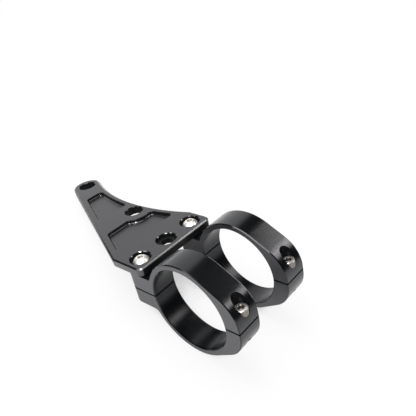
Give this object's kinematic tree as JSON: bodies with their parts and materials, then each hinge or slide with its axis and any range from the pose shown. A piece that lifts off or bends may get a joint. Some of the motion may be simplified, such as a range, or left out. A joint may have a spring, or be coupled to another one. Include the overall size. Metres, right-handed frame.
{
  "type": "headlight mounting bracket",
  "caption": "Black bracket that carries a motorbike headlight: a long arm plate with milled pockets and holes, screwed on split clamps that grip a fork tube.",
  "frame": {"origin": "on the axis of the fork tube, midway between the clamps", "axes": "+Y along the fork tube, +Z square to the arm plate and towards its outer face, and the arm's tip towards -X"},
  "size_m": [0.2025, 0.0675, 0.057],
  "materials": {
    "plate_black": "satin black anodised",
    "clamp_black": "satin black anodised",
    "screw_steel": "bright stainless"
  },
  "bodies": {
    "root": {"arm_plate": "plate_black", "clamp_body_1": "clamp_black", "clamp_body_2": "clamp_black", "clamp_cap_1": "clamp_black", "clamp_cap_2": "clamp_black", "clamp_screw_1": "screw_steel", "clamp_screw_2": "screw_steel", "plate_screw_1": "screw_steel", "plate_screw_2": "screw_steel"}
  },
  "joints": []
}
